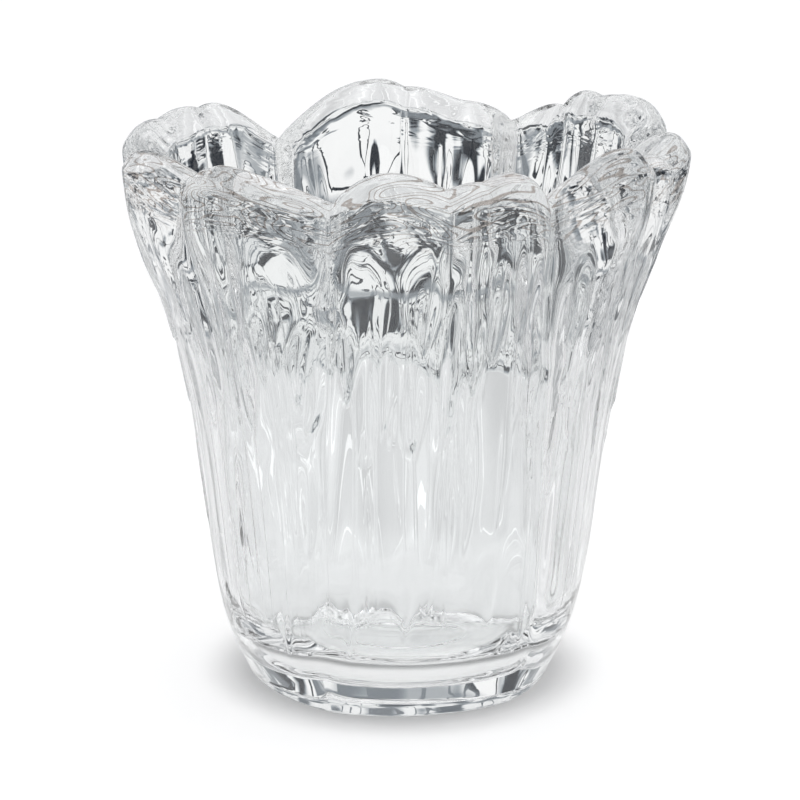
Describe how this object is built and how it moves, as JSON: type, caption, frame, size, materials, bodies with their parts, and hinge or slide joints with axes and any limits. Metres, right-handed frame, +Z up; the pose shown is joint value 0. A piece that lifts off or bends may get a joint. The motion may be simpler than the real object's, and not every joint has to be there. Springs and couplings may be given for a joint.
{
  "type": "glass vase",
  "caption": "Clear heavy glass vase, a flower-shaped rim of flared, double-lobed petals over a tapering body and a thick round foot.",
  "frame": {"origin": "middle of the flat underside, on the surface that the vase stands on", "axes": "+Z up through the mouth; -Y towards the viewer of the picture, +X to the viewer's right"},
  "size_m": [0.1684, 0.1664, 0.1717],
  "materials": {
    "glass": "clear heavy glass, fire polished outside and in, with a ground and polished underside"
  },
  "bodies": {
    "root": {"vase": "glass"}
  },
  "joints": []
}
